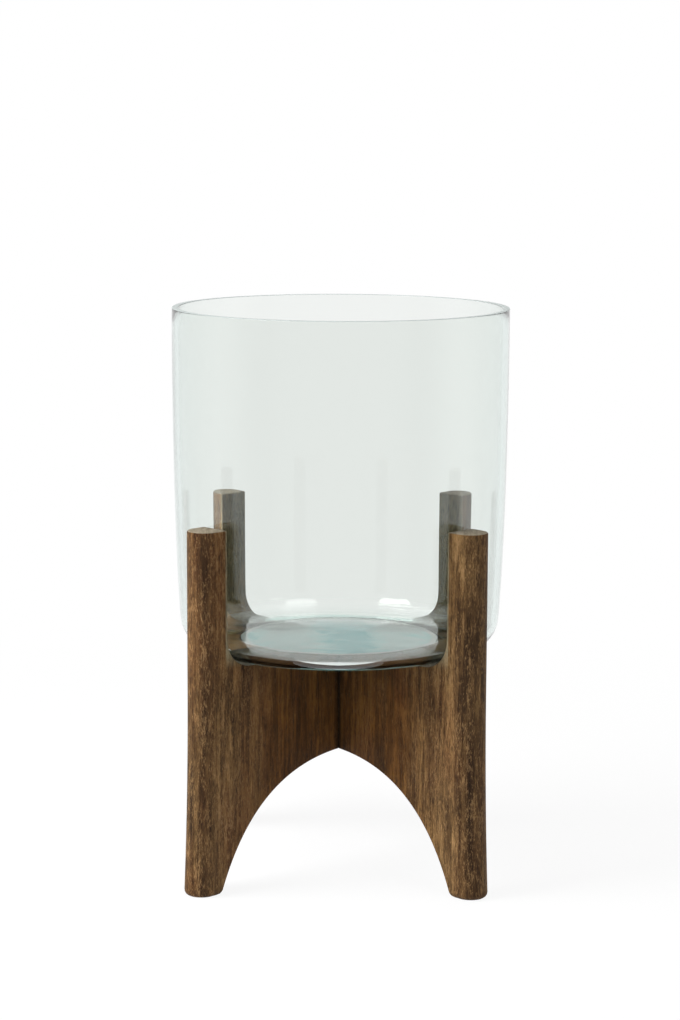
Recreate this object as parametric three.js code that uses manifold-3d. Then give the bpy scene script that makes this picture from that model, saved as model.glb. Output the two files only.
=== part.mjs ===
// A glass vase on a wooden stand with four legs.
// Millimetres, +Z up. The origin is on the floor, on the vase's axis. The front is towards -Y.

import * as THREE from "three";
import { mergeVertices } from "three/addons/utils/BufferGeometryUtils.js";
import Module from "manifold-3d";

const wasm = await Module();
wasm.setup();

// The vase, in heights above its own underside
const vaseHeight = 223.8;
const rimRadius = 110.4;
const heelTaper = 4.8; // how much narrower the wall is where the rounded bottom edge begins
const bendHeight = 87; // the wall leans in below about this height
const glassWall = 4.4;
const glassBase = 5.2; // thickness over the ring that the vase rests on
const vaseCorner = 20; // outside radius of the bottom edge
const innerCorner = 14;
const hollowDepth = 1.5; // the middle of the underside is raised by this much
const hollowRadius = 62; // the flat of the raised middle
const hollowEdge = 5; // width of the slope from it down to the resting ring

// The stand
const boardThickness = 22.5;
const archCrown = 79.5; // the underside of the arch at the centre
const railDepth = 67.9; // from the arch's crown up to the vase's seat
const postRise = 89.5; // the post above the seat
const postDepth = 20.5; // from the post's inner face to the tip of its nose
const footDepth = 18.7; // the same at the floor
const footSplay = 3.6; // how far the leg flares out at the floor
const splayHeight = 130; // where the flare begins
const footRound = 3.5;
const topRound = 1.2;
const archCrownPull = 55; // length of the arch's tangent at the crown
const archFootPull = 60; // and at the foot
const archFootLean = THREE.MathUtils.degToRad(20.7); // from upright, where the arch meets the floor

// The dowel pins in the mitred faces at the centre
const dowelDiameter = 6;
const dowelLength = 30;
const dowelChamfer = 0.8;

// Clearances
const seatGap = 0.3; // between the vase's underside and the rails
const postClearance = 0.4; // between the vase's wall and the posts
const mitreGap = 0.3; // the glue line between two legs
const dowelClearance = 0.3; // all round a dowel and at its ends

// Smoothness
const vaseSegments = 80;
const cornerSteps = 7;
const wallSteps = 7;
const rimSteps = 4;
const hollowSteps = 4;
const noseSteps = 14;
const archSteps = 22;
const splaySteps = 6;
const roundSteps = 4;
const dowelSegments = 16;

// What follows from them
const seatHeight = archCrown + railDepth;
const postTop = seatHeight + postRise;
const halfBoard = boardThickness / 2;
const heelRadius = rimRadius - heelTaper;
const vaseBottom = seatHeight + seatGap;
const mitreWidth = halfBoard * Math.SQRT2;

// Points on an arc from one angle to another, in degrees.
function arc(centreX, centreY, radius, from, to, steps) {
  const points = [];
  for (let i = 0; i <= steps; i++) {
    const angle = THREE.MathUtils.degToRad(from + ((to - from) * i) / steps);
    const x = centreX + radius * Math.cos(angle);
    const y = centreY + radius * Math.sin(angle);
    points.push(new THREE.Vector2(x, y));
  }
  return points;
}

// A geometry as a solid that can be joined and cut.
function toSolid(geometry) {
  const bare = new THREE.BufferGeometry();
  bare.setAttribute("position", geometry.getAttribute("position"));
  bare.setIndex(geometry.index);
  const merged = mergeVertices(bare, 1e-4);
  const vertProperties = new Float32Array(merged.getAttribute("position").array);
  const triVerts = new Uint32Array(merged.index.array);
  return new wasm.Manifold(new wasm.Mesh({ numProp: 3, vertProperties, triVerts }));
}

// And back to a geometry with a normal for each face.
function toGeometry(solid) {
  const mesh = solid.getMesh();
  const geometry = new THREE.BufferGeometry();
  geometry.setAttribute("position", new THREE.BufferAttribute(mesh.vertProperties, 3));
  geometry.setIndex(new THREE.BufferAttribute(mesh.triVerts, 1));
  const faceted = geometry.toNonIndexed();
  faceted.computeVertexNormals();
  return faceted;
}

// The outside of the vase's wall: it leans in towards the heel and is upright at the rim.
const wallLean = Math.atan2(heelTaper, bendHeight - vaseCorner);
const heelHeight = vaseCorner * (1 - Math.sin(wallLean));
const wallTop = vaseHeight - glassWall / 2;
const wallCurve = new THREE.QuadraticBezierCurve(
  new THREE.Vector2(heelRadius, heelHeight),
  new THREE.Vector2(rimRadius, heelHeight + bendHeight - vaseCorner),
  new THREE.Vector2(rimRadius, wallTop),
);

// Where on the wall's curve a height lies, from 0 at the heel to 1 under the rim.
function wallPlace(height) {
  let low = 0;
  let high = 1;
  for (let i = 0; i < 40; i++) {
    const middle = (low + high) / 2;
    if (wallCurve.getPoint(middle).y < height) low = middle;
    else high = middle;
  }
  return (low + high) / 2;
}

function wallRadiusAt(height) {
  return wallCurve.getPoint(wallPlace(height)).x;
}

function makeVase() {
  const leanDegrees = THREE.MathUtils.radToDeg(wallLean);
  const heelCentre = heelRadius - vaseCorner * Math.cos(wallLean);
  const outerEdge = arc(heelCentre, vaseCorner, vaseCorner, -90, -leanDegrees, cornerSteps);
  const outerWall = wallCurve.getPoints(wallSteps).slice(1);
  const rim = arc(rimRadius - glassWall / 2, wallTop, glassWall / 2, 0, 180, rimSteps).slice(1);

  const innerTangent = wallCurve.getTangent(wallPlace(glassBase + innerCorner));
  const innerLean = Math.atan2(innerTangent.x, innerTangent.y);
  const innerHeel = glassBase + innerCorner * (1 - Math.sin(innerLean));
  const innerCentre = wallRadiusAt(innerHeel) - glassWall - innerCorner * Math.cos(innerLean);
  const innerWall = [];
  for (let i = 1; i < wallSteps; i++) {
    const height = THREE.MathUtils.lerp(wallTop, innerHeel, i / wallSteps);
    innerWall.push(new THREE.Vector2(wallRadiusAt(height) - glassWall, height));
  }
  const innerLeanDegrees = THREE.MathUtils.radToDeg(innerLean);
  const innerEdge = arc(
    innerCentre,
    glassBase + innerCorner,
    innerCorner,
    -innerLeanDegrees,
    -90,
    cornerSteps,
  );
  const hollow = [new THREE.Vector2(0, hollowDepth)];
  for (let i = 0; i <= hollowSteps; i++) {
    const along = i / hollowSteps;
    const height = (hollowDepth * (1 + Math.cos(Math.PI * along))) / 2;
    hollow.push(new THREE.Vector2(hollowRadius + hollowEdge * along, height));
  }
  const floor = new THREE.Vector2(0, glassBase);
  const profile = [...hollow, ...outerEdge, ...outerWall, ...rim, ...innerWall, ...innerEdge, floor];
  const geometry = new THREE.LatheGeometry(profile, vaseSegments);
  geometry.rotateX(Math.PI / 2);
  return geometry;
}

// The posts stand just clear of the widest glass between them.
const postInner = Math.max(heelRadius, wallRadiusAt(postRise - seatGap)) + postClearance;
const postOuter = postInner + postDepth;
const footOuter = postOuter + footSplay;
const footInner = footOuter - footDepth;
const postFillet = vaseCorner; // the seat's inside corner is cut to the vase's own edge

// How far out the tip of a leg's nose is at a height.
function noseReach(height) {
  const down = Math.max(0, 1 - height / splayHeight);
  return postOuter + footSplay * down * down;
}

// How far a rounded edge has drawn in at a distance from the face that it runs out on.
function drawnIn(radius, distance) {
  const rest = Math.max(0, radius - distance);
  return radius - Math.sqrt(radius * radius - rest * rest);
}

// A leg seen from above, along +X: a mitred point at the centre, flat sides and a half-round nose.
function legPlan(height, inset) {
  const tip = mitreGap / Math.SQRT2;
  const side = halfBoard - inset;
  const nose = arc(noseReach(height) - halfBoard, 0, side, -90, 90, noseSteps);
  const shoulders = [new THREE.Vector2(tip + side, side), new THREE.Vector2(tip, 0)];
  return [...nose, ...shoulders, new THREE.Vector2(tip + side, -side)];
}

// The plans stacked from the floor to the post's top.
function makeLegColumn() {
  const levels = [];
  for (let i = 0; i <= roundSteps; i++) {
    const height = footRound * (1 - Math.cos((i / roundSteps) * (Math.PI / 2)));
    levels.push([height, drawnIn(footRound, height)]);
  }
  for (let i = 1; i <= splaySteps; i++) {
    levels.push([THREE.MathUtils.lerp(footRound, splayHeight, i / splaySteps), 0]);
  }
  for (let i = roundSteps; i >= 0; i--) {
    const below = topRound * (1 - Math.cos((i / roundSteps) * (Math.PI / 2)));
    levels.push([postTop - below, drawnIn(topRound, below)]);
  }
  const positions = [];
  for (const [height, inset] of levels) {
    for (const point of legPlan(height, inset)) positions.push(point.x, point.y, height);
  }
  const around = positions.length / 3 / levels.length;
  const indices = [];
  for (let level = 0; level + 1 < levels.length; level++) {
    for (let i = 0; i < around; i++) {
      const here = level * around + i;
      const next = level * around + ((i + 1) % around);
      indices.push(here, next, next + around);
      indices.push(here, next + around, here + around);
    }
  }
  const top = (levels.length - 1) * around;
  for (let i = 1; i + 1 < around; i++) {
    indices.push(0, i + 1, i);
    indices.push(top, top + i, top + i + 1);
  }
  const column = new THREE.BufferGeometry();
  column.setAttribute("position", new THREE.Float32BufferAttribute(positions, 3));
  column.setIndex(indices);
  return toSolid(column);
}

// A leg seen from the side, from the centre outwards: half the arch, the foot, the post and half the rail.
function makeLegBoard() {
  const beyond = 5; // the board is wider and longer than the column that trims it
  const leanX = Math.sin(archFootLean);
  const leanY = Math.cos(archFootLean);
  const toFootRound = footRound * Math.tan((Math.PI / 2 - archFootLean) / 2);
  const archEnd = new THREE.Vector2(footInner - toFootRound * leanX, toFootRound * leanY);
  const arch = new THREE.CubicBezierCurve(
    new THREE.Vector2(0, archCrown),
    new THREE.Vector2(archCrownPull, archCrown),
    new THREE.Vector2(archEnd.x - archFootPull * leanX, archEnd.y + archFootPull * leanY),
    archEnd,
  );
  const footEdge = new THREE.QuadraticBezierCurve(
    archEnd,
    new THREE.Vector2(footInner, 0),
    new THREE.Vector2(footInner + toFootRound, 0),
  );
  const topEdge = arc(postInner + topRound, postTop - topRound, topRound, 90, 180, roundSteps);
  const filletX = postInner - postFillet;
  const fillet = arc(filletX, seatHeight + postFillet, postFillet, 0, -90, cornerSteps);
  const outline = new THREE.Shape([
    ...arch.getPoints(archSteps),
    ...footEdge.getPoints(roundSteps).slice(1),
    new THREE.Vector2(footInner + toFootRound, -beyond),
    new THREE.Vector2(footOuter + beyond, -beyond),
    new THREE.Vector2(footOuter + beyond, postTop + beyond),
    new THREE.Vector2(postInner + topRound, postTop + beyond),
    ...topEdge,
    ...fillet,
    new THREE.Vector2(0, seatHeight),
  ]);
  const depth = boardThickness + 2 * beyond;
  const board = new THREE.ExtrudeGeometry(outline, { depth, bevelEnabled: false });
  board.rotateX(Math.PI / 2);
  board.translate(0, depth / 2, 0);
  return toSolid(board);
}

// The height of one of the four rows of dowels, which share the rail's depth evenly.
function dowelHeight(row) {
  return archCrown + (railDepth * (row + 1)) / 5;
}

// The bore for a dowel, across the mitred face on one side of a leg.
function makeBore(side, row) {
  const radius = dowelDiameter / 2 + dowelClearance;
  const length = dowelLength + 2 * dowelClearance;
  const bore = new THREE.CylinderGeometry(radius, radius, length, dowelSegments);
  bore.translate(mitreWidth / 2, 0, 0);
  bore.rotateZ((side * Math.PI) / 4);
  bore.translate(0, 0, dowelHeight(row));
  return toSolid(bore);
}

// A leg that points along +X, with its rows of bores on the +Y side and on the -Y side.
function makeLeg(rowsLeft, rowsRight) {
  let leg = makeLegBoard().intersect(makeLegColumn());
  for (const row of rowsLeft) leg = leg.subtract(makeBore(1, row));
  for (const row of rowsRight) leg = leg.subtract(makeBore(-1, row));
  return toGeometry(leg);
}

function makeDowel() {
  const radius = dowelDiameter / 2;
  const half = dowelLength / 2;
  const profile = [
    new THREE.Vector2(0, -half),
    new THREE.Vector2(radius - dowelChamfer, -half),
    new THREE.Vector2(radius, -half + dowelChamfer),
    new THREE.Vector2(radius, half - dowelChamfer),
    new THREE.Vector2(radius - dowelChamfer, half),
    new THREE.Vector2(0, half),
  ];
  return new THREE.LatheGeometry(profile, dowelSegments);
}

const glass = new THREE.MeshStandardMaterial({
  color: 0xe3ebe5,
  roughness: 0.05,
  metalness: 0,
  transparent: true,
  opacity: 0.35,
});
const stainedWood = new THREE.MeshStandardMaterial({ color: 0x5f452d, roughness: 0.6, metalness: 0 });
const bareWood = new THREE.MeshStandardMaterial({ color: 0xc9a878, roughness: 0.7, metalness: 0 });

const object = new THREE.Group();

function add(name, geometry, material, parent) {
  const mesh = new THREE.Mesh(geometry, material);
  mesh.name = name;
  parent.add(mesh);
  return mesh;
}

const vase = add("glass_vase", makeVase(), glass, object);
vase.position.z = vaseBottom;

// Neighbouring legs meet in four upright mitred faces. Pins in crossing faces are in alternate rows.
const frontBackRows = [0, 2];
const sideRows = [1, 3];

const stand = new THREE.Group();
object.add(stand);
const legs = [
  { name: "front_left_leg", turn: -135, rowsLeft: frontBackRows, rowsRight: sideRows },
  { name: "front_right_leg", turn: -45, rowsLeft: sideRows, rowsRight: frontBackRows },
  { name: "back_right_leg", turn: 45, rowsLeft: frontBackRows, rowsRight: sideRows },
  { name: "back_left_leg", turn: 135, rowsLeft: sideRows, rowsRight: frontBackRows },
];
for (const { name, turn, rowsLeft, rowsRight } of legs) {
  const leg = add(name, makeLeg(rowsLeft, rowsRight), stainedWood, stand);
  leg.rotation.z = THREE.MathUtils.degToRad(turn);
}

const seams = [
  { name: "front_dowel", turn: -90, rows: frontBackRows },
  { name: "right_dowel", turn: 0, rows: sideRows },
  { name: "back_dowel", turn: 90, rows: frontBackRows },
  { name: "left_dowel", turn: 180, rows: sideRows },
];
for (const { name, turn, rows } of seams) {
  const seam = new THREE.Group();
  seam.rotation.z = THREE.MathUtils.degToRad(turn);
  stand.add(seam);
  const lower = add(name + "_lower", makeDowel(), bareWood, seam);
  lower.position.set(mitreWidth / 2, 0, dowelHeight(rows[0]));
  const upper = add(name + "_upper", makeDowel(), bareWood, seam);
  upper.position.set(mitreWidth / 2, 0, dowelHeight(rows[1]));
}

export default object;
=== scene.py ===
import math

import bmesh
import bpy
from mathutils import Matrix, Vector, noise


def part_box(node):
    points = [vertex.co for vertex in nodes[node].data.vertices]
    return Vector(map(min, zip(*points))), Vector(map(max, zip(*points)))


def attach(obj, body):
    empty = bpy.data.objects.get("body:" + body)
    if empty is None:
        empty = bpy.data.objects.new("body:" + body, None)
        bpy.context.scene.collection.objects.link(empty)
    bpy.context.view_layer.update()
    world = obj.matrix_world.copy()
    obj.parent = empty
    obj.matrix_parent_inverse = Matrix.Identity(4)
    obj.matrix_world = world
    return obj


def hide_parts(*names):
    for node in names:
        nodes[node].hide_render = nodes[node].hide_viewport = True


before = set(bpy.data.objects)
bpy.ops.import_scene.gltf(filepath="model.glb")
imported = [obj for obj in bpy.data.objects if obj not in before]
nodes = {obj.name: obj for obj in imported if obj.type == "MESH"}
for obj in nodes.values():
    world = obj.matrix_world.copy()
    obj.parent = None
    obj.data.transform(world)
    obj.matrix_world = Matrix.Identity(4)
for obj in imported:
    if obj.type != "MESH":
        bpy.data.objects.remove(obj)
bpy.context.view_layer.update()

# Places taken from the frame. All sizes here are in metres, apart from the cuts through the leg
vase_low, vase_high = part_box("glass_vase")
leg_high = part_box("front_left_leg")[1]
RIM_RADIUS = vase_high.x
VASE_BOTTOM = vase_low.z
VASE_HEIGHT = vase_high.z - vase_low.z
POST_TOP = leg_high.z

# The vase, with heights above its own underside
HEEL_TAPER = 0.0048
BEND_HEIGHT = 0.087
GLASS_WALL = 0.0044
GLASS_BASE = 0.0052
VASE_CORNER = 0.020
INNER_CORNER = 0.014
HOLLOW_DEPTH = 0.0015
HOLLOW_RADIUS = 0.062
HOLLOW_EDGE = 0.005
RIM_ROUND = 0.0006

HEEL_RADIUS = RIM_RADIUS - HEEL_TAPER
WALL_TOP = VASE_HEIGHT - GLASS_WALL / 2
WALL_LEAN = math.atan2(HEEL_TAPER, BEND_HEIGHT - VASE_CORNER)
HEEL_HEIGHT = VASE_CORNER * (1 - math.sin(WALL_LEAN))

# How uneven the blown glass is inside, and how closely its waves follow each other
WALL_WAVE = 0.00004
WALL_WAVES_AROUND = 90
WALL_WAVES_UP = 9
FLOOR_WAVE = 0.0003
FLOOR_WAVES_SIDEWAYS = 48
FLOOR_WAVES_DEEP = 70
FLOOR_WAVE_LAYER = 3.7
FLOOR_TOLERANCE = 0.0001

# The stand
BOARD = 0.0225
HALF_BOARD = BOARD / 2
ARCH_CROWN = 0.0795
POST_DEPTH = 0.0205
FOOT_DEPTH = 0.0187
FOOT_SPLAY = 0.0036
SPLAY_HEIGHT = 0.130
FOOT_ROUND = 0.0035
TOP_ROUND = 0.0012
EDGE_ROUND = 0.0010
JOINT_ROUND = 0.0005
ARCH_CROWN_PULL = 0.055
ARCH_FOOT_PULL = 0.060
ARCH_FOOT_LEAN = math.radians(20.7)
SEAT_GAP = 0.0003
POST_CLEARANCE = 0.0004
MITRE_GAP = 0.00001
SEAT = VASE_BOTTOM - SEAT_GAP

# Which way each leg points, in degrees from +X
LEG_TURNS = {"front_left_leg": -135, "front_right_leg": -45, "back_right_leg": 45, "back_left_leg": 135}

# How many steps each stretch of an outline is drawn in
HOLLOW_STEPS = 10
HOLLOW_EDGE_STEPS = 8
HEEL_STEPS = 16
WALL_STEPS = 24
RIM_STEPS = 6
INNER_CORNER_STEPS = 24
FLOOR_STEPS = 32
SPIN_STEPS = 240
WALL_HALVINGS = 40
ARCH_STEPS = 36
NOSE_STEPS = 10
SEAT_CORNER_STEPS = 12

# How the leg's edges are rounded, and which of its faces show end grain
NOSE_SEGMENTS = 18
NOSE_STRIP = 0.00003
ROUND_PROFILE = 0.5
EDGE_SEGMENTS = 4
SHARP_EDGE = math.radians(40)
SMOOTH_EDGE = math.radians(35)
JOINT_REACH = HALF_BOARD * 1.1
END_GRAIN_LEVELNESS = 0.8
END_GRAIN_TOLERANCE = 0.0005

# Where the leg's long faces are cut into smaller ones, in millimetres
MILLIMETRE = 0.001
LEVEL_CUTS = range(4, 236, 6)
UPRIGHT_CUTS = range(16, 118, 6)

# How near counts as the same place
SAME_PLACE = 0.00001
SAME_PLACE_ON_VASE = 0.00002
SAME_PLACE_ON_NOSE = 0.0001


def deselect_all():
    if bpy.context.object and bpy.context.object.mode != "OBJECT":
        bpy.ops.object.mode_set(mode="OBJECT")
    bpy.ops.object.select_all(action="DESELECT")


def apply_modifier(piece, kind, **settings):
    deselect_all()
    piece.select_set(True)
    bpy.context.view_layer.objects.active = piece
    modifier = piece.modifiers.new(kind.title(), kind)
    for key, value in settings.items():
        setattr(modifier, key, value)
    bpy.ops.object.modifier_apply(modifier=modifier.name)


def draw_line(name, points):
    """A mesh drawn as by hand: one vertex, extruded from point to point. It is left in edit mode."""
    deselect_all()
    bpy.ops.mesh.primitive_plane_add(size=MILLIMETRE, location=points[0])
    piece = bpy.context.active_object
    piece.name = name
    bpy.ops.object.transform_apply(location=True, rotation=True, scale=True)
    bpy.ops.object.mode_set(mode="EDIT")
    bpy.ops.mesh.select_mode(type="VERT")
    bpy.ops.mesh.select_all(action="SELECT")
    bpy.ops.mesh.merge(type="CENTER")
    for here, there in zip(points, points[1:]):
        step = Vector(there) - Vector(here)
        bpy.ops.mesh.extrude_region_move(TRANSFORM_OT_translate={"value": step})
    return piece


def close_up(distance):
    """Merges the doubles of the mesh in edit mode, turns its faces outwards and leaves edit mode."""
    bpy.ops.mesh.select_all(action="SELECT")
    bpy.ops.mesh.remove_doubles(threshold=distance)
    bpy.ops.mesh.normals_make_consistent(inside=False)
    bpy.ops.object.mode_set(mode="OBJECT")


def arc(centre_x, centre_y, radius, start, end, steps):
    """Points on an arc from one angle to another, in degrees."""
    points = []
    for i in range(steps + 1):
        angle = math.radians(start + (end - start) * i / steps)
        points.append((centre_x + radius * math.cos(angle), centre_y + radius * math.sin(angle)))
    return points


# The vase

def wall_point(t):
    """A point on the outside of the wall, from 0 at the heel to 1 under the rim, and its lean."""
    ends = (
        (HEEL_RADIUS, HEEL_HEIGHT),
        (RIM_RADIUS, HEEL_HEIGHT + BEND_HEIGHT - VASE_CORNER),
        (RIM_RADIUS, WALL_TOP),
    )
    weights = (1 - t) ** 2, 2 * t * (1 - t), t * t
    radius = sum(w * p[0] for w, p in zip(weights, ends))
    height = sum(w * p[1] for w, p in zip(weights, ends))
    outward = (1 - t) * (ends[1][0] - ends[0][0]) + t * (ends[2][0] - ends[1][0])
    upward = (1 - t) * (ends[1][1] - ends[0][1]) + t * (ends[2][1] - ends[1][1])
    return radius, height, math.atan2(outward, upward)


def wall_at(height):
    """The point of the wall's outside at a height, found by halving."""
    low, high = 0.0, 1.0
    for _ in range(WALL_HALVINGS):
        middle = (low + high) / 2
        if wall_point(middle)[1] < height:
            low = middle
        else:
            high = middle
    return wall_point(low)


def hollow_profile():
    """The raised middle of the underside and the soft step round it."""
    hollow = [(HOLLOW_RADIUS * i / HOLLOW_STEPS, HOLLOW_DEPTH) for i in range(HOLLOW_STEPS)]
    for i in range(HOLLOW_EDGE_STEPS + 1):
        share = i / HOLLOW_EDGE_STEPS
        height = HOLLOW_DEPTH * (1 + math.cos(math.pi * share)) / 2
        hollow.append((HOLLOW_RADIUS + HOLLOW_EDGE * share, height))
    return hollow


def vase_profile():
    """Radius and height round the section of the glass, from the middle of its underside."""
    outer_centre = HEEL_RADIUS - VASE_CORNER * math.cos(WALL_LEAN)
    heel = arc(outer_centre, VASE_CORNER, VASE_CORNER, -90, -math.degrees(WALL_LEAN), HEEL_STEPS)
    outer_wall = [wall_point(i / WALL_STEPS)[:2] for i in range(1, WALL_STEPS + 1)]
    rim_round = VASE_HEIGHT - RIM_ROUND
    rim = arc(RIM_RADIUS - RIM_ROUND, rim_round, RIM_ROUND, 0, 90, RIM_STEPS)
    rim += arc(RIM_RADIUS - GLASS_WALL + RIM_ROUND, rim_round, RIM_ROUND, 90, 180, RIM_STEPS)
    inner_lean = wall_at(GLASS_BASE + INNER_CORNER)[2]
    inner_heel = GLASS_BASE + INNER_CORNER * (1 - math.sin(inner_lean))
    inner_centre = wall_at(inner_heel)[0] - GLASS_WALL - INNER_CORNER * math.cos(inner_lean)
    inner_wall = []
    for i in range(1, WALL_STEPS):
        height = WALL_TOP + (inner_heel - WALL_TOP) * i / WALL_STEPS
        inner_wall.append((wall_at(height)[0] - GLASS_WALL, height))
    start = -math.degrees(inner_lean)
    inner_edge = arc(inner_centre, GLASS_BASE + INNER_CORNER, INNER_CORNER, start, -90, INNER_CORNER_STEPS)
    floor = [(inner_centre * (1 - i / FLOOR_STEPS), GLASS_BASE) for i in range(1, FLOOR_STEPS + 1)]
    return hollow_profile() + heel + outer_wall + rim + inner_wall + inner_edge + floor


def make_glass_uneven(vase):
    """Moves the inner wall in and out and the floor inside up and down by a breath."""
    for vertex in vase.data.vertices:
        x, y = vertex.co.xy
        height = vertex.co.z - VASE_BOTTOM
        reach = vertex.co.xy.length
        on_wall = GLASS_BASE + INNER_CORNER < height < WALL_TOP
        if on_wall and reach < wall_at(height)[0] - GLASS_WALL / 2:
            place = Vector((x * WALL_WAVES_AROUND, y * WALL_WAVES_AROUND, height * WALL_WAVES_UP))
            vertex.co.xy *= 1 + noise.noise(place) * WALL_WAVE / reach
        elif abs(height - GLASS_BASE) < FLOOR_TOLERANCE:
            place = Vector((x * FLOOR_WAVES_SIDEWAYS, y * FLOOR_WAVES_DEEP, FLOOR_WAVE_LAYER))
            vertex.co.z += noise.noise(place) * FLOOR_WAVE


def make_vase():
    points = [(radius, 0, height + VASE_BOTTOM) for radius, height in vase_profile()]
    vase = draw_line("blown_glass_vase", points)
    bpy.ops.mesh.select_all(action="SELECT")
    bpy.ops.mesh.spin(steps=SPIN_STEPS, angle=2 * math.pi, center=(0, 0, 0), axis=(0, 0, 1))
    close_up(SAME_PLACE_ON_VASE)
    make_glass_uneven(vase)
    bpy.ops.object.shade_smooth()
    return vase


# The legs

POST_INNER = wall_at(POST_TOP - VASE_BOTTOM)[0] + POST_CLEARANCE
POST_OUTER = POST_INNER + POST_DEPTH
FOOT_OUTER = POST_OUTER + FOOT_SPLAY
FOOT_INNER = FOOT_OUTER - FOOT_DEPTH


def nose_reach(height):
    """How far out the leg's nose stands at a height. It flares towards the foot."""
    down = max(0, 1 - height / SPLAY_HEIGHT)
    return POST_OUTER + FOOT_SPLAY * down * down


def arch_points():
    """Half of the arch, from its crown to the foot."""
    foot_pull_in = ARCH_FOOT_PULL * math.sin(ARCH_FOOT_LEAN)
    foot_pull_up = ARCH_FOOT_PULL * math.cos(ARCH_FOOT_LEAN)
    ends = (
        Vector((0, ARCH_CROWN)),
        Vector((ARCH_CROWN_PULL, ARCH_CROWN)),
        Vector((FOOT_INNER - foot_pull_in, foot_pull_up)),
        Vector((FOOT_INNER, 0)),
    )
    points = []
    for i in range(ARCH_STEPS + 1):
        t = i / ARCH_STEPS
        weights = (1 - t) ** 3, 3 * t * (1 - t) ** 2, 3 * t * t * (1 - t), t ** 3
        points.append(tuple(sum((w * p for w, p in zip(weights, ends)), Vector((0, 0)))))
    return points


def leg_outline():
    """Distance from the centre and height round a leg's board, from the arch's crown."""
    nose_heights = [SPLAY_HEIGHT * i / NOSE_STEPS for i in range(NOSE_STEPS + 1)]
    nose = [(nose_reach(height), height) for height in nose_heights]
    top = [(POST_OUTER, POST_TOP), (POST_INNER, POST_TOP)]
    seat_corner = arc(POST_INNER - VASE_CORNER, SEAT + VASE_CORNER, VASE_CORNER, 0, -90, SEAT_CORNER_STEPS)
    return arch_points() + nose + top + seat_corner + [(0, SEAT)]


def cut_mitres():
    """Cuts the board's inner end to a right-angled point."""
    tip = (MITRE_GAP / math.sqrt(2), 0, 0)
    for side in (1, -1):
        bpy.ops.mesh.select_all(action="SELECT")
        bpy.ops.mesh.bisect(plane_co=tip, plane_no=(1, side, 0), clear_inner=True, use_fill=True)


def is_nose_corner(edge):
    """Whether an edge is one of the two long corners between the board's faces and its outer edge."""
    here, there = (vertex.co for vertex in edge.verts)
    on_face = all(abs(abs(end.y) - HALF_BOARD) < SAME_PLACE for end in (here, there))
    on_nose = all(end.x > nose_reach(end.z) - SAME_PLACE_ON_NOSE for end in (here, there))
    return on_face and on_nose and abs(here.y - there.y) < SAME_PLACE


def round_nose(leg):
    """Rounds the board's outer edge to a half circle."""
    mesh = bmesh.from_edit_mesh(leg.data)
    bpy.ops.mesh.select_mode(type="EDGE")
    bpy.ops.mesh.select_all(action="DESELECT")
    for edge in mesh.edges:
        edge.select_set(is_nose_corner(edge))
    mesh.select_flush_mode()
    bmesh.update_edit_mesh(leg.data)
    width = HALF_BOARD - NOSE_STRIP
    bpy.ops.mesh.bevel(offset=width, segments=NOSE_SEGMENTS, profile=ROUND_PROFILE, clamp_overlap=False)


def edge_rounding(edge):
    """The width that an edge of the leg is rounded by, which is nothing where it isn't sharp."""
    if edge.calc_face_angle(0) < SHARP_EDGE:
        return 0
    heights = [vertex.co.z for vertex in edge.verts]
    if max(heights) < SAME_PLACE:
        return FOOT_ROUND
    if min(heights) > POST_TOP - SAME_PLACE:
        return TOP_ROUND
    if all(vertex.co.x < JOINT_REACH for vertex in edge.verts):
        return JOINT_ROUND
    return EDGE_ROUND


def round_edges(leg):
    mesh = bmesh.from_edit_mesh(leg.data)
    layers = mesh.edges.layers.float
    weight = layers.get("bevel_weight_edge") or layers.new("bevel_weight_edge")
    for edge in mesh.edges:
        edge[weight] = edge_rounding(edge) / FOOT_ROUND
    bmesh.update_edit_mesh(leg.data)
    rounding = {"width": FOOT_ROUND, "segments": EDGE_SEGMENTS, "use_clamp_overlap": False}
    apply_modifier(leg, "BEVEL", limit_method="WEIGHT", **rounding)


def divide_faces():
    """Cuts the leg's long faces into smaller ones, level and upright."""
    bpy.ops.object.mode_set(mode="EDIT")
    for height in LEVEL_CUTS:
        bpy.ops.mesh.select_all(action="SELECT")
        bpy.ops.mesh.bisect(plane_co=(0, 0, height * MILLIMETRE), plane_no=(0, 0, 1))
    for reach in UPRIGHT_CUTS:
        bpy.ops.mesh.select_all(action="SELECT")
        bpy.ops.mesh.bisect(plane_co=(reach * MILLIMETRE, 0, 0), plane_no=(1, 0, 0))


def make_leg():
    """One leg along +X: a board cut to its outline, mitred and rounded."""
    points = [(reach, -HALF_BOARD, height) for reach, height in leg_outline()]
    leg = draw_line("leg", points)
    bpy.ops.mesh.select_all(action="SELECT")
    bpy.ops.mesh.edge_face_add()
    bpy.ops.mesh.extrude_region_move(TRANSFORM_OT_translate={"value": (0, BOARD, 0)})
    bpy.ops.mesh.select_all(action="SELECT")
    bpy.ops.mesh.normals_make_consistent(inside=False)
    cut_mitres()
    round_nose(leg)
    round_edges(leg)
    divide_faces()
    close_up(SAME_PLACE)
    bpy.ops.object.shade_smooth_by_angle(angle=SMOOTH_EDGE)
    return leg


def show_end_grain(leg):
    """Gives the board's cut ends the second material: the post's top, the seat and the foot."""
    for face in leg.data.polygons:
        height = face.center.z
        at_an_end = height > SEAT - END_GRAIN_TOLERANCE or height < END_GRAIN_TOLERANCE
        if at_an_end and abs(face.normal.z) > END_GRAIN_LEVELNESS:
            face.material_index = 1


def place_leg(pattern, name, turn):
    """A copy of the leg with its own mesh, turned to its corner."""
    leg = pattern.copy()
    leg.data = pattern.data.copy()
    leg.name = name
    bpy.context.scene.collection.objects.link(leg)
    leg.data.transform(Matrix.Rotation(math.radians(turn), 4, "Z"))
    return leg


# Colours, and a short way to write a material

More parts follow.
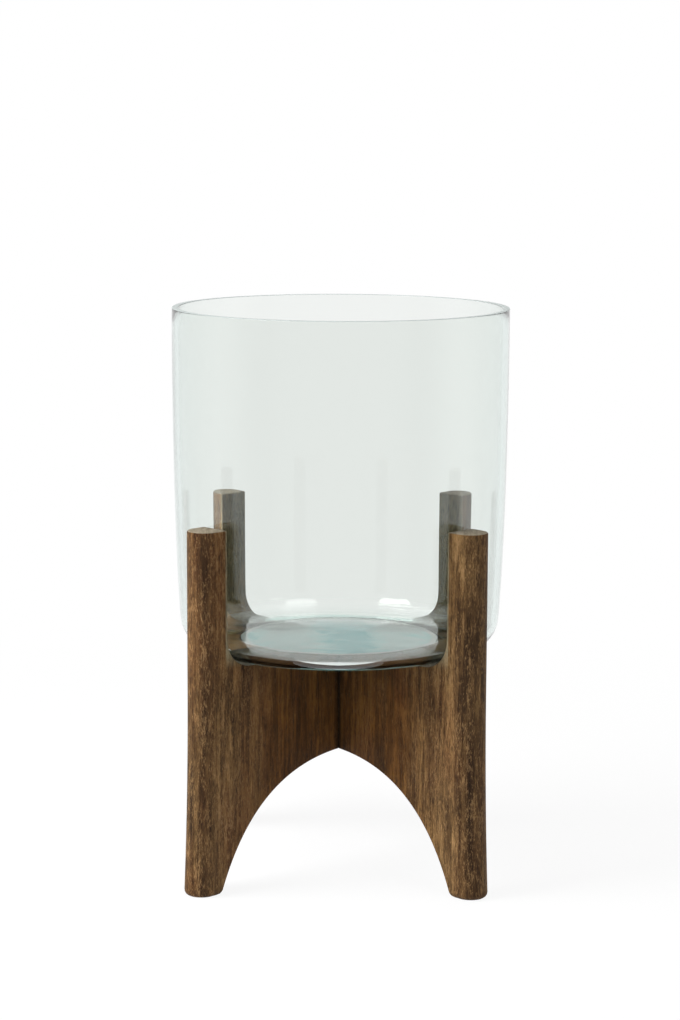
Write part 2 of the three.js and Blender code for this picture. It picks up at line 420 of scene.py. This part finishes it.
BLACK = (0, 0, 0, 1)
WHITE = (1, 1, 1, 1)


def linear(value):
    """A part of a screen colour, from 0 to 1, as an amount of light, by the standard curve."""
    if value <= 0.04045:
        return value / 12.92
    return ((value + 0.055) / 1.055) ** 2.4


def srgb(red, green, blue):
    """A colour as it is seen, from 0 to 255, in the light that the shader counts in."""
    return (linear(red / 255), linear(green / 255), linear(blue / 255), 1)


def grey(value):
    return (value, value, value, 1)


class Nodes:
    """A material's nodes and links. A value is a number or another node's output."""

    def __init__(self, tree):
        self.tree = tree
        self.tree.nodes.clear()

    def add(self, kind, inputs=None, **settings):
        node = self.tree.nodes.new(kind)
        for key, value in settings.items():
            setattr(node, key, value)
        for key, value in (inputs or {}).items():
            if isinstance(value, bpy.types.NodeSocket):
                self.tree.links.new(value, node.inputs[key])
            else:
                node.inputs[key].default_value = value
        return node

    def place(self):
        """The place on the object, in metres."""
        return self.add("ShaderNodeTexCoord").outputs["Object"]

    def split(self, place):
        """The x, y and z of a place."""
        return tuple(self.add("ShaderNodeSeparateXYZ", {"Vector": place}).outputs)

    def length(self, place):
        return self.add("ShaderNodeVectorMath", {0: place}, operation="LENGTH").outputs["Value"]

    def math(self, operation, a, b=0.0, clamp=False):
        node = self.add("ShaderNodeMath", {0: a, 1: b}, operation=operation, use_clamp=clamp)
        return node.outputs[0]

    def times(self, product, *values):
        for value in values:
            product = self.math("MULTIPLY", product, value)
        return product

    def rest(self, value):
        """What is left of 1."""
        return self.math("SUBTRACT", 1.0, value)

    def blend(self, share, a, b):
        """A share of a, and b for the rest."""
        return self.math("ADD", self.times(a, share), self.times(b, 1 - share))

    def at_least(self, least, value):
        """A value from 0 to 1, drawn together to run from least to 1."""
        return self.math("ADD", self.times(value, 1 - least), least)

    def share(self, value, none_at, all_at, least=0.0, most=1.0, kind="LINEAR"):
        """Least where the value is none_at, most where it is all_at. Either may be the greater."""
        limits = {"Value": value, "From Min": none_at, "From Max": all_at, "To Min": least, "To Max": most}
        return self.add("ShaderNodeMapRange", limits, interpolation_type=kind).outputs[0]

    def ramp(self, factor, *stops):
        """The colours of the stops, each with its place on the ramp."""
        node = self.add("ShaderNodeValToRGB", {"Fac": factor})
        elements = node.color_ramp.elements
        while len(elements) < len(stops):
            elements.new(0.5)
        for element, (position, colour) in zip(elements, stops):
            element.position = position
            element.color = colour
        return node.outputs["Color"]

    def above(self, value, start, full):
        return self.ramp(value, (start, BLACK), (full, WHITE))

    def below(self, value, full, end):
        return self.ramp(value, (full, WHITE), (end, BLACK))

    def between(self, value, start, full, fading, end):
        return self.ramp(value, (start, BLACK), (full, WHITE), (fading, WHITE), (end, BLACK))

    def mix(self, factor, a, b, blend="MIX"):
        """Colour b over colour a. This node has more sockets of the same names, so they go by number."""
        inputs = {0: factor, 6: a, 7: b}
        return self.add("ShaderNodeMix", inputs, data_type="RGBA", blend_type=blend).outputs[2]

    def noise(self, place, scale, detail, roughness=0.5, distortion=0.0):
        inputs = {"Vector": place, "Scale": scale, "Detail": detail}
        inputs |= {"Roughness": roughness, "Distortion": distortion}
        return self.add("ShaderNodeTexNoise", inputs).outputs["Fac"]

    def grain(self, scale, stretch, detail=4, roughness=0.55, distortion=0.0, at=(0, 0, 0)):
        """Noise drawn out along Z. A smaller stretch draws it out further."""
        mapping = {"Vector": self.place(), "Location": at, "Scale": (1, 1, stretch)}
        drawn_out = self.add("ShaderNodeMapping", mapping).outputs[0]
        return self.noise(drawn_out, scale, detail, roughness, distortion)

    def bump(self, height, strength, distance):
        inputs = {"Height": height, "Strength": strength, "Distance": distance}
        return self.add("ShaderNodeBump", inputs).outputs[0]

    def finish(self, shader, **more):
        self.add("ShaderNodeOutputMaterial", {"Surface": shader.outputs[0], **more})


def new_material(name):
    material = bpy.data.materials.new(name)
    material.use_nodes = True
    return material, Nodes(material.node_tree)


# Where the stain, the painted light and the painted shade change: out along a board from the stand's
# middle, or across it from its own middle
WEAR_STARTS = 0.066
WEAR_FULL = 0.108
POST_STARTS = 0.104
POST_FULL = 0.109
INNER_FACE_FULL = 0.1106
INNER_FACE_ENDS = 0.1112
INNER_FACE_FADE_UP = 0.012
GLUE_LINE_FULL = 0.0119
GLUE_LINE_ENDS = 0.0126
# Across the board: where the band of painted shade on the nose's sides starts, is full, fades and ends
NOSE_PAINTED_SHADE_BAND = (0.0050, 0.0074, 0.0100, 0.0108)
# Out along the board: the pale strip beside the nose, partly rubbed stain and partly a painted highlight
RUBBED_EDGE_AND_PAINTED_HIGHLIGHT = (0.1172, 0.1180, 0.1190, 0.1200)
BOARD_FACE_STARTS = 0.0106
BOARD_FACE_FULL = 0.0111
# Out along the board: painted light on the posts' flat faces, then painted shade on the outer part of the
# nose
POST_PAINTED_LIGHT_STARTS = 0.095
POST_PAINTED_LIGHT_FULL = 0.110
POST_PAINTED_LIGHT_ENDS = 0.1190
NOSE_PAINTED_SHADE_FULL = 0.1226

# How much of each layer covers what is under it
STREAK_SHARE = 0.68
FLECK_SHARE = 0.62
PATCHINESS = 1.2
LEAST_BRUSHED = 0.2
LEAST_FIBRE = 0.45
RED_SHARE = 0.4
NOSE_PAINTED_SHADE_SHARE = 0.62
INNER_FACE_PAINTED_LIGHT_SHARE = 0.50
GLUE_LINE_SHARE = 0.9
DARK_FLECK_SHARE = 0.38
LIGHT_FLECK_SHARE = 0.5
PORE_SHARE = 0.5

# How far the parts of the grain stand out, beside each other
FIBRE_RELIEF = 0.5
PORE_RELIEF = 0.7
MOTTLE_RELIEF = 2.0


def board_places(n):
    """How far a point lies out along its diagonal board, how far from the board's middle, and how high."""
    x, y, z = n.split(n.place())
    x = n.math("ABSOLUTE", x)
    y = n.math("ABSOLUTE", y)
    along = n.times(n.math("ADD", x, y), math.sqrt(0.5))
    across = n.times(n.math("ABSOLUTE", n.math("SUBTRACT", x, y)), math.sqrt(0.5))
    return along, across, z


def brown_stain(n, worn):
    """The streaky brown all over the stand, with some redder patches."""
    streak = n.grain(210, 0.05, detail=6, roughness=0.7, distortion=0.6)
    blotch = n.grain(46, 0.45, detail=5, roughness=0.6, distortion=0.8, at=(0.9, 0.1, 0.5))
    streak = n.blend(STREAK_SHARE, streak, blotch)
    smooth = n.ramp(
        streak,
        (0.36, srgb(47, 29, 11)),
        (0.47, srgb(72, 45, 18)),
        (0.54, srgb(90, 58, 24)),
        (0.64, srgb(112, 75, 33)),
    )
    brushed = n.ramp(
        streak,
        (0.38, srgb(56, 40, 24)),
        (0.46, srgb(86, 64, 39)),
        (0.53, srgb(109, 83, 52)),
        (0.63, srgb(137, 108, 70)),
    )
    colour = n.mix(worn, smooth, brushed)
    red = n.above(n.grain(38, 0.15, detail=2, at=(0.2, 0.9, 0.4)), 0.5, 0.66)
    return n.mix(n.times(red, RED_SHARE), colour, srgb(104, 64, 35))


def post_stains_and_painted_light(n, colour, along, across, z):
    """Painted shade on the noses, painted light on the posts' flats and inner faces, and the glue line in
    the middle.

    The pale colour on the inner faces isn't clear in the photo. It is painted light, making up for light
    that the clear glass blocks here and real glass lets through, so those faces are too pale without the
    vase."""
    # Painted shade: a dark streaky band on the sides of the posts' rounded noses
    nose_painted_shade = n.between(across, *NOSE_PAINTED_SHADE_BAND)
    streaks = n.above(n.grain(70, 0.16, detail=4, at=(0.15, 0.6, 0.1)), 0.38, 0.52)
    on_post = n.share(along, POST_STARTS, POST_FULL)
    colour = n.mix(n.times(nose_painted_shade, streaks, on_post, NOSE_PAINTED_SHADE_SHARE), colour, srgb(44, 29, 17))
    # Painted light makes the posts' flat faces lighter, and painted shade makes the outer part of the nose
    # darker
    tone = n.ramp(
        along,
        (POST_PAINTED_LIGHT_STARTS, WHITE),
        (POST_PAINTED_LIGHT_FULL, (1.16, 1.15, 1.14, 1)),
        (POST_PAINTED_LIGHT_ENDS, (1.16, 1.15, 1.14, 1)),
        (NOSE_PAINTED_SHADE_FULL, (0.68, 0.66, 0.64, 1)),
    )
    colour = n.mix(1.0, colour, tone, "MULTIPLY")
    # Painted light: a pale colour on the posts' inner faces over the seat, for light that the clear glass
    # blocks
    inner_face_painted_light = n.share(along, INNER_FACE_ENDS, INNER_FACE_FULL)
    over_seat = n.share(z, SEAT, SEAT + INNER_FACE_FADE_UP)
    colour = n.mix(n.times(inner_face_painted_light, over_seat, INNER_FACE_PAINTED_LIGHT_SHARE), colour, srgb(166, 162, 134))
    glue_line = n.below(along, GLUE_LINE_FULL, GLUE_LINE_ENDS)
    return n.mix(n.times(glue_line, GLUE_LINE_SHARE), colour, srgb(15, 9, 5))


def stained_wood_with_painted_light():
    """Upright grain under a brown stain: darker and smoother on the rails, brushed lighter on the posts,
    with painted light and shade on the posts.
    """
    material, n = new_material("stained_grain_with_painted_light")
    along, across, z = board_places(n)
    patch = n.grain(30, 0.30, detail=3, distortion=0.6)
    patches = n.times(n.math("SUBTRACT", patch, 0.5), PATCHINESS)
    worn = n.math("ADD", n.share(along, WEAR_STARTS, WEAR_FULL), patches, clamp=True)
    brushed_share = n.at_least(LEAST_BRUSHED, worn)
    colour = brown_stain(n, worn)
    colour = post_stains_and_painted_light(n, colour, along, across, z)

    fibre = n.grain(1100, 0.04, detail=4, roughness=0.7)
    shade = n.ramp(fibre, (0.3, (0.70, 0.68, 0.65, 1)), (0.7, (1.30, 1.30, 1.29, 1)))
    colour = n.mix(n.at_least(LEAST_FIBRE, worn), colour, shade, "MULTIPLY")
    cluster = n.grain(230, 0.22, detail=3, roughness=0.6, distortion=0.8, at=(0.4, 0.8, 0.6))
    fleck = n.grain(1250, 0.24, detail=3, roughness=0.6, distortion=1.2, at=(0.7, 0.5, 0.2))
    mottle = n.blend(FLECK_SHARE, fleck, cluster)
    dark_fleck = n.times(n.below(mottle, 0.42, 0.48), brushed_share, DARK_FLECK_SHARE)
    colour = n.mix(dark_fleck, colour, srgb(42, 29, 18))
    light_fleck = n.times(n.above(mottle, 0.52, 0.60), brushed_share, LIGHT_FLECK_SHARE)
    colour = n.mix(light_fleck, colour, srgb(158, 124, 84))
    pores = n.below(n.grain(1300, 0.12, detail=2, at=(0.3, 0.1, 0)), 0.36, 0.43)
    colour = n.mix(n.times(pores, PORE_SHARE), colour, srgb(28, 18, 10))

    # A pale strip on the flat faces where they meet the nose: partly rubbed stain, partly a painted
    # highlight along the edge
    on_face = n.share(across, BOARD_FACE_STARTS, BOARD_FACE_FULL)
    on_rubbed_edge_and_painted_highlight = n.between(along, *RUBBED_EDGE_AND_PAINTED_HIGHLIGHT)
    broken = n.ramp(cluster, (0.40, BLACK), (0.62, grey(0.8)))
    colour = n.mix(n.times(on_face, on_rubbed_edge_and_painted_highlight, broken), colour, srgb(150, 120, 82))

    height = n.math("SUBTRACT", n.times(fibre, FIBRE_RELIEF), n.times(pores, PORE_RELIEF))
    height = n.math("ADD", height, n.times(mottle, brushed_share, MOTTLE_RELIEF))
    finish = {
        "Base Color": colour,
        "Roughness": n.ramp(fibre, (0.3, grey(0.74)), (0.7, grey(0.56))),
        "Normal": n.bump(height, strength=0.8, distance=0.0006),
        "Specular IOR Level": 0.15,
    }
    n.finish(n.add("ShaderNodeBsdfPrincipled", finish))
    return material


def end_grain():
    """The pale cut ends of the boards, with their pores and growth rings."""
    material, n = new_material("pale_end_grain")
    mapping = {"Vector": n.place(), "Rotation": (0, 0, 0.5), "Scale": (1, 0.12, 1)}
    drawn_out = n.add("ShaderNodeMapping", mapping).outputs[0]
    ring = n.noise(drawn_out, scale=420, detail=3)
    speck = n.noise(n.place(), scale=1500, detail=3)
    tone = n.blend(0.5, ring, speck)
    colour = n.ramp(
        tone,
        (0.36, srgb(90, 78, 60)),
        (0.5, srgb(125, 114, 95)),
        (0.64, srgb(150, 141, 123)),
    )
    finish = {
        "Base Color": colour,
        "Roughness": 0.7,
        "Normal": n.bump(tone, strength=0.4, distance=0.0004),
    }
    n.finish(n.add("ShaderNodeBsdfPrincipled", finish))
    return material


def bare_wood():
    """The plain wood of the dowels."""
    material, n = new_material("bare_dowel_wood")
    fibre = n.grain(900, 0.3, detail=4)
    finish = {
        "Base Color": n.ramp(fibre, (0.3, srgb(178, 140, 95)), (0.7, srgb(218, 186, 140))),
        "Roughness": 0.7,
        "Normal": n.bump(fibre, strength=0.3, distance=0.0002),
    }
    n.finish(n.add("ShaderNodeBsdfPrincipled", finish))
    return material


# The matt-ground middle under the vase, out from its axis, and the lip of its rim
GROUND_FULL = HOLLOW_RADIUS + 0.0025
GROUND_ENDS = HOLLOW_RADIUS + 0.0035
GROUND_TOP = VASE_BOTTOM + HOLLOW_DEPTH * 1.2
GROUND_RAGGEDNESS = 0.006
GROUND_ROUGHNESS = 0.6
# Out from the axis: where the ground middle's painted highlight, a white ring, starts and is full
PAINTED_HIGHLIGHT_RING_STARTS = HOLLOW_RADIUS - 0.0025
PAINTED_HIGHLIGHT_RING_FULL = HOLLOW_RADIUS + 0.0005
# Towards the back, in y: where the ground middle grows clearer and paler, its paler colour being painted
# light
THIN_PAINTED_LIGHT_STARTS = 0.035
THIN_PAINTED_LIGHT_FULL = 0.080
THIN_PAINTED_LIGHT_RAGGEDNESS = 0.05
THIN_CLEARS = 0.8
CLOUD_SHARE = 0.70
LIP_BOTTOM = VASE_BOTTOM + VASE_HEIGHT - RIM_ROUND * 0.4
LIP_COVER = 0.7
LIP_ROUGHNESS = 0.3
GLASS_BENDING = 1.5
GLASS_DEPTH_TINT = 14.0


def ground_colour(n, y, reach):
    """The teal of the ground middle: cloudy, thinner towards the back where its paler colour is painted
    light, with a painted highlight in a pale ring at its edge.
    """
    cloud = n.noise(n.place(), scale=42, detail=5, roughness=0.62, distortion=0.8)
    wave = {"Vector": n.place(), "Scale": 4.0, "Distortion": 2.5, "Detail": 2.0}
    wave |= {"Detail Scale": 1.5, "Phase Offset": 5.8}
    bands = n.add("ShaderNodeTexWave", wave, wave_type="BANDS", bands_direction="X").outputs["Fac"]
    cloud = n.blend(CLOUD_SHARE, cloud, bands)
    teal = n.ramp(
        cloud,
        (0.38, (0.36, 0.80, 0.84, 1)),
        (0.49, (0.70, 1.0, 1.0, 1)),
        (0.60, (0.86, 1.0, 1.0, 1)),
    )
    # Towards the back the ground middle is clearer, and the paler colour there is painted light
    backward = n.math("ADD", y, n.times(cloud, THIN_PAINTED_LIGHT_RAGGEDNESS))
    thin_and_painted_light = n.share(backward, THIN_PAINTED_LIGHT_STARTS, THIN_PAINTED_LIGHT_FULL)
    teal = n.mix(thin_and_painted_light, teal, (0.94, 1.0, 1.0, 1))
    # A painted highlight: the ground middle turns white in a ring at its edge
    ring = n.share(reach, PAINTED_HIGHLIGHT_RING_STARTS, PAINTED_HIGHLIGHT_RING_FULL, kind="SMOOTHSTEP")
    return n.mix(ring, teal, WHITE), thin_and_painted_light


def vase_glass():
    """Clear glass with a breath of green. The raised middle of its underside is ground matt, with painted
    light and a painted highlight in its colour.

    The flat lip of the rim is only partly see-through and grey-green. It stands in for a clear rim, which
    renders nearly black from above."""
    material, n = new_material("pale_green_glass_with_painted_light")
    x, y, z = n.split(n.place())
    level = n.add("ShaderNodeCombineXYZ", {0: x, 1: y, 2: 0.0}).outputs[0]
    uneven = n.math("SUBTRACT", n.noise(n.place(), scale=45, detail=3), 0.5)
    reach = n.math("ADD", n.length(level), n.times(uneven, GROUND_RAGGEDNESS))
    ground = n.share(reach, GROUND_ENDS, GROUND_FULL, kind="SMOOTHSTEP")
    ground = n.times(ground, n.math("LESS_THAN", z, GROUND_TOP))
    matt, thin_and_painted_light = ground_colour(n, y, reach)
    clear = n.ramp(
        n.add("ShaderNodeLayerWeight").outputs["Facing"],
        (0.06, (0.965, 0.950, 0.938, 1)),
        (0.28, (0.937, 0.920, 0.908, 1)),
        (0.40, (0.933, 0.916, 0.904, 1)),
        (0.80, (0.865, 0.855, 0.845, 1)),
    )
    lip = n.math("GREATER_THAN", z, LIP_BOTTOM)
    cover = n.times(ground, n.rest(n.times(thin_and_painted_light, THIN_CLEARS)))
    finish = {
        "Base Color": n.mix(lip, n.mix(ground, clear, matt), (0.42, 0.48, 0.46, 1)),
        "Roughness": n.math("MAXIMUM", n.times(ground, GROUND_ROUGHNESS), n.times(lip, LIP_ROUGHNESS)),
        "Transmission Weight": n.rest(n.math("MAXIMUM", cover, n.times(lip, LIP_COVER))),
        "IOR": GLASS_BENDING,
    }
    tint = {"Color": (0.10, 0.72, 0.62, 1), "Density": GLASS_DEPTH_TINT}
    depth = n.add("ShaderNodeVolumeAbsorption", tint).outputs[0]
    n.finish(n.add("ShaderNodeBsdfPrincipled", finish), Volume=depth)
    return material


# The white studio. Mirrored rays see its front side dimmed, and a ray straight to the front points to -1
DIM_SIDE_STRENGTH = 0.45
DIM_SIDE_FULL = -0.6
DIM_SIDE_ENDS = 0.05
STUDIO_LIGHT = 0.20
STUDIO_WALL_STARTS = 0.30
STUDIO_WALL_FULL = 0.62
FLOOR_SIZE = 12
FLOOR_SHADE_FULL = 0.12
FLOOR_SHADE_ENDS = 0.8
FLOOR_WHITE_SHARE = 0.90
FLOOR_DIM_REACH = 0.8

# Each lamp's place from the target, its width and height, its power in watts and its roll in degrees
LAMP_TARGET = Vector((0, 0, 0.16))
LAMPS = {
    "key_from_the_left": {"place": (-1.15, -0.42, 0.60), "size": (0.9, 0.9), "power": 29, "roll": 0},
    "back_light": {"place": (0.55, 1.30, 0.75), "size": (0.9, 0.9), "power": 7, "roll": 0},
    "fill_from_the_right": {"place": (0.95, -1.00, 0.70), "size": (0.9, 0.9), "power": 5, "roll": 0},
}
SOFTBOXES = {
    "left_softbox": {"place": (-0.700, -0.327, 1.113), "size": (0.46, 0.80), "power": 6.4, "roll": 37},
    "right_softbox": {"place": (0.462, -0.280, 1.255), "size": (0.37, 0.79), "power": 2.1, "roll": -39},
}

# The camera stands where the photographer's did, a little to the right of the stand's own front
CAMERA_DISTANCE = 1.7648
CAMERA_HEIGHT = 0.5165
CAMERA_PITCH = 0.157
CAMERA_TURN = math.radians(1.07)
CAMERA_ROLL = math.radians(0.25)
CAMERA_LENS = 95.4
CAMERA_SENSOR = 36
CAMERA_NEAR = 0.05


def seen_rays(n, front):
    """How much of the white studio a ray sees: all of it straight or through the glass, and where it was
    mirrored on its way less of it towards the dim side. A ray that lights the object sees none."""
    path = n.add("ShaderNodeLightPath").outputs
    missing = n.share(front, DIM_SIDE_FULL, DIM_SIDE_ENDS, 1.0 - DIM_SIDE_STRENGTH, 0.0, "SMOOTHSTEP")
    mirrored = n.math("MINIMUM", path["Glossy Depth"], 1.0)
    lit = n.rest(n.times(mirrored, missing))
    bent = n.math("MAXIMUM", path["Is Glossy Ray"], path["Is Transmission Ray"])
    return n.math("MAXIMUM", path["Is Camera Ray"], n.times(bent, lit))


def floor_material():
    """White where it is seen, with a little plain matt near the object, which takes a soft shadow."""
    material, n = new_material("white_floor")
    away = n.length(n.place())
    white_share = n.share(away, FLOOR_SHADE_FULL, FLOOR_SHADE_ENDS, FLOOR_WHITE_SHARE, 1.0)
    y = n.split(n.place())[1]
    seen = seen_rays(n, n.math("DIVIDE", y, n.math("MAXIMUM", away, FLOOR_DIM_REACH)))
    share = n.times(n.math("GREATER_THAN", seen, 0.0), white_share)
    matt = n.add("ShaderNodeBsdfDiffuse", {"Color": grey(0.85)})
    white = n.add("ShaderNodeEmission", {"Color": WHITE, "Strength": seen})
    n.finish(n.add("ShaderNodeMixShader", {0: share, 1: matt.outputs[0], 2: white.outputs[0]}))
    return material


def make_world():
    """A studio that is white to the eye and lights the object much more weakly."""
    world = bpy.data.worlds.new("studio")
    world.use_nodes = True
    bpy.context.scene.world = world
    n = Nodes(world.node_tree)
    direction = n.add("ShaderNodeTexCoord").outputs["Generated"]
    _, y, up = n.split(direction)
    wall = n.ramp(up, (STUDIO_WALL_STARTS, WHITE), (STUDIO_WALL_FULL, (0.97, 0.985, 1.0, 1)))
    strength = n.math("MAXIMUM", seen_rays(n, y), STUDIO_LIGHT)
    background = n.add("ShaderNodeBackground", {"Color": wall, "Strength": strength})
    n.add("ShaderNodeOutputWorld", {"Surface": background.outputs[0]})


def make_floor():
    deselect_all()
    bpy.ops.mesh.primitive_plane_add(size=FLOOR_SIZE, location=(0, 0, 0))
    floor = bpy.context.active_object
    floor.name = "studio_floor"
    floor.data.materials.append(floor_material())


def add_lamp(name, mirrored, place, size, power, roll):
    """A soft lamp turned to the target. It shows in the glass only if it is to be mirrored."""
    deselect_all()
    bpy.ops.object.light_add(type="AREA", location=LAMP_TARGET + Vector(place))
    lamp = bpy.context.active_object
    lamp.name = name
    lamp.data.shape = "RECTANGLE"
    lamp.data.size, lamp.data.size_y = size
    lamp.data.energy = power
    lamp.rotation_euler = (-Vector(place)).to_track_quat("-Z", "Y").to_euler()
    lamp.rotation_euler.rotate_axis("Z", math.radians(roll))
    lamp.visible_camera = False
    lamp.visible_glossy = mirrored
    lamp.visible_transmission = mirrored


def make_lamps():
    for name, lamp in LAMPS.items():
        add_lamp(name, False, **lamp)
    for name, lamp in SOFTBOXES.items():
        add_lamp(name, True, **lamp)


def make_camera():
    camera = bpy.data.cameras.new("photo_camera")
    camera.lens = CAMERA_LENS
    camera.sensor_width = CAMERA_SENSOR
    camera.clip_start = CAMERA_NEAR
    holder = bpy.data.objects.new("photo_camera", camera)
    bpy.context.scene.collection.objects.link(holder)
    holder.location = (
        CAMERA_DISTANCE * math.sin(CAMERA_TURN),
        -CAMERA_DISTANCE * math.cos(CAMERA_TURN),
        CAMERA_HEIGHT,
    )
    holder.rotation_euler = (math.pi / 2 - CAMERA_PITCH, 0, CAMERA_TURN)
    holder.rotation_euler.rotate_axis("Z", CAMERA_ROLL)
    bpy.context.scene.camera = holder


# The scene

bpy.context.scene.view_settings.view_transform = "Standard"
make_camera()
make_world()
make_floor()
make_lamps()

vase = make_vase()
vase.data.materials.append(vase_glass())
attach(vase, "vase")
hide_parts("glass_vase")

leg_pattern = make_leg()
leg_pattern.data.materials.append(stained_wood_with_painted_light())
leg_pattern.data.materials.append(end_grain())
show_end_grain(leg_pattern)
for node_name, turn in LEG_TURNS.items():
    leg = place_leg(leg_pattern, "wooden_" + node_name, turn)
    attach(leg, "stand")
    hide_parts(node_name)
bpy.data.objects.remove(leg_pattern)

dowel_wood = bare_wood()
for node_name, node in nodes.items():
    if "dowel" in node_name:
        node.data.materials.clear()
        node.data.materials.append(dowel_wood)
